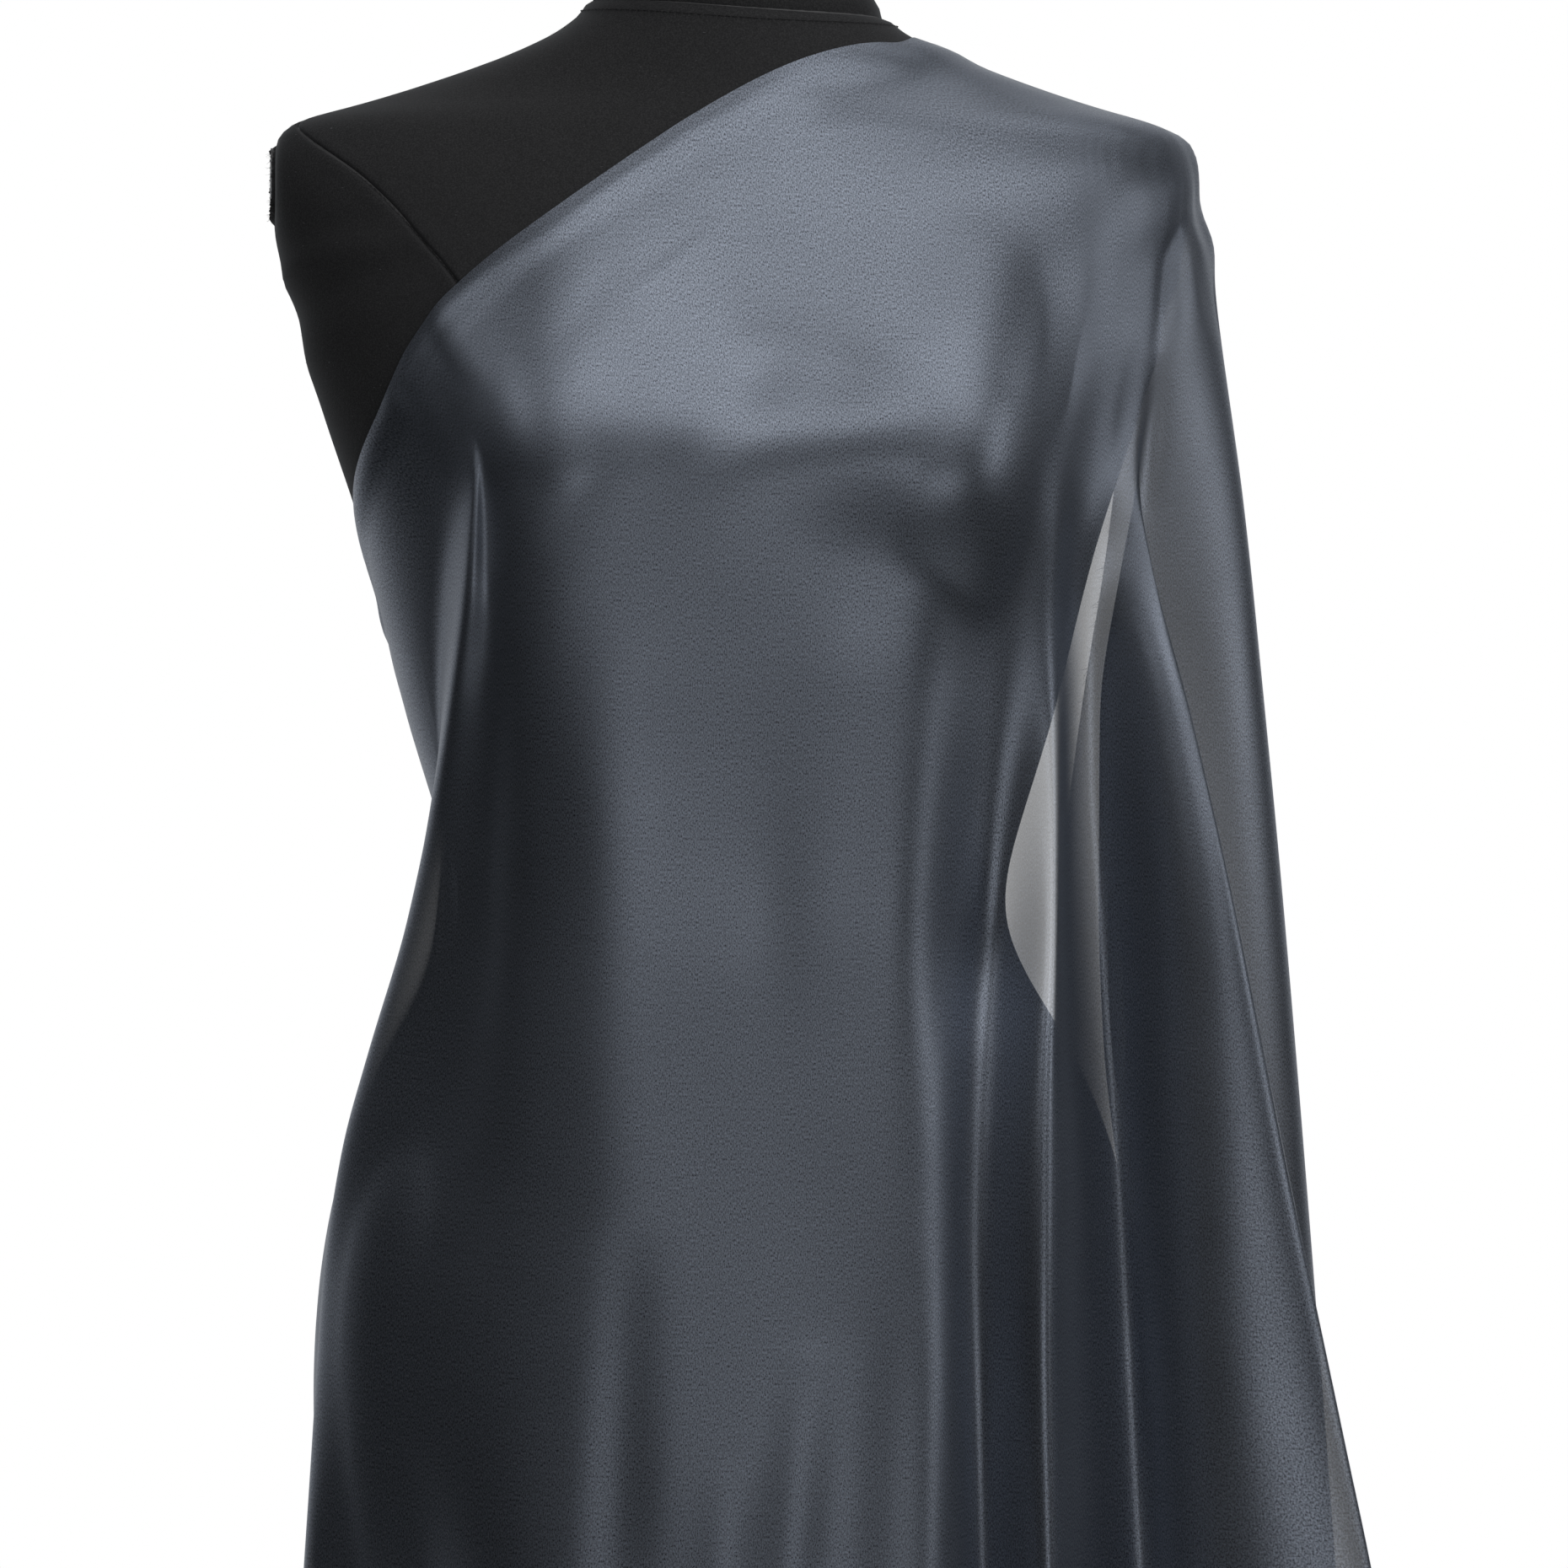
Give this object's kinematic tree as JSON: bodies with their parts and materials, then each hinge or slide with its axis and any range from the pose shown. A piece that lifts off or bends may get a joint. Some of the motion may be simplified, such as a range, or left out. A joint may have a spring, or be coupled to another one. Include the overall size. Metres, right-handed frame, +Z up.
{
  "type": "dress form mannequin",
  "caption": "Female torso dress form in a black stretch cover with a draped satin cloth, on a height adjustable, swivelling mast and a curved wooden stand.",
  "frame": {"origin": "on the floor under the mast's axis, midway between the feet", "axes": "+Z up along the mast; the form faces -Y; +X is the form's own left, where the satin hangs"},
  "size_m": [0.66, 0.66, 1.5276],
  "materials": {
    "stained_wood": "satin lacquer",
    "pad_rubber": "matt",
    "chromed_steel": "polished",
    "zinc_steel": "zinc plated",
    "black_steel": "powder coat",
    "black_plastic": "fine texture",
    "nylon": "matt",
    "brass": "turned",
    "shell_plastic": "matt",
    "plywood": "raw",
    "black_jersey": "fine knit",
    "slate_satin": "satin weave"
  },
  "bodies": {
    "stand": {"clamp_collar": "black_plastic", "collar_bush": "nylon", "foot_pad_1": "pad_rubber", "foot_pad_2": "pad_rubber", "foot_pad_3": "pad_rubber", "foot_pad_4": "pad_rubber", "hub": "stained_wood", "hub_set_screw": "zinc_steel", "leg_1": "stained_wood", "leg_2": "stained_wood", "leg_3": "stained_wood", "leg_4": "stained_wood", "leg_screws": "zinc_steel", "outer_tube": "chromed_steel", "tube_end_cap": "black_plastic"},
    "height_shoe": {"height_shoe": "brass"},
    "height_knob": {"height_knob": "black_plastic", "height_stud": "zinc_steel"},
    "mast": {"mast_tube": "chromed_steel", "mast_foot": "nylon", "mast_plug": "nylon"},
    "torso": {"arm_plate_left": "chromed_steel", "arm_plate_right": "chromed_steel", "board_screws": "zinc_steel", "bottom_board": "plywood", "cover_back_left": "black_jersey", "cover_back_right": "black_jersey", "cover_front": "black_jersey", "cover_hem": "black_jersey", "cover_neck_band": "black_jersey", "cover_side_left": "black_jersey", "cover_side_right": "black_jersey", "finial": "stained_wood", "finial_screw": "zinc_steel", "flange_screws": "zinc_steel", "neck_cap": "stained_wood", "neck_plug": "plywood", "satin_drape": "slate_satin", "socket_flange": "black_steel", "socket_plug": "nylon", "socket_ring": "black_plastic", "socket_sleeve": "chromed_steel", "torso_shell": "shell_plastic"},
    "swivel_shoe": {"swivel_shoe": "brass"},
    "swivel_knob": {"swivel_knob": "black_plastic", "swivel_stud": "zinc_steel"}
  },
  "joints": [
    {"name": "height_slide", "type": "slide", "parent": "stand", "child": "mast", "axis": [0, 0, 1], "range_m": [-0.1, 0.22]},
    {"name": "torso_swivel", "type": "hinge", "parent": "mast", "child": "torso", "pos_m": [0, 0, 0.8], "axis": [0, 0, 1], "continuous": true},
    {"name": "height_shoe_travel", "type": "slide", "parent": "stand", "child": "height_shoe", "axis": [0, 1, 0], "range_m": [0, 0.0025]},
    {"name": "height_knob_turn", "type": "hinge", "parent": "height_shoe", "child": "height_knob", "pos_m": [0, 0.05, 0.496], "axis": [0, 1, 0], "range_deg": [0, 720]},
    {"name": "swivel_shoe_travel", "type": "slide", "parent": "torso", "child": "swivel_shoe", "axis": [0, 1, 0], "range_m": [0, 0.0025]},
    {"name": "swivel_knob_turn", "type": "hinge", "parent": "swivel_shoe", "child": "swivel_knob", "pos_m": [0, 0.05, 0.656], "axis": [0, 1, 0], "range_deg": [0, 720]}
  ],
  "couplings": [
    {"joint": "height_shoe_travel", "follows": "height_knob_turn", "m_per_rad": 0.00019894},
    {"joint": "swivel_shoe_travel", "follows": "swivel_knob_turn", "m_per_rad": 0.00019894}
  ]
}
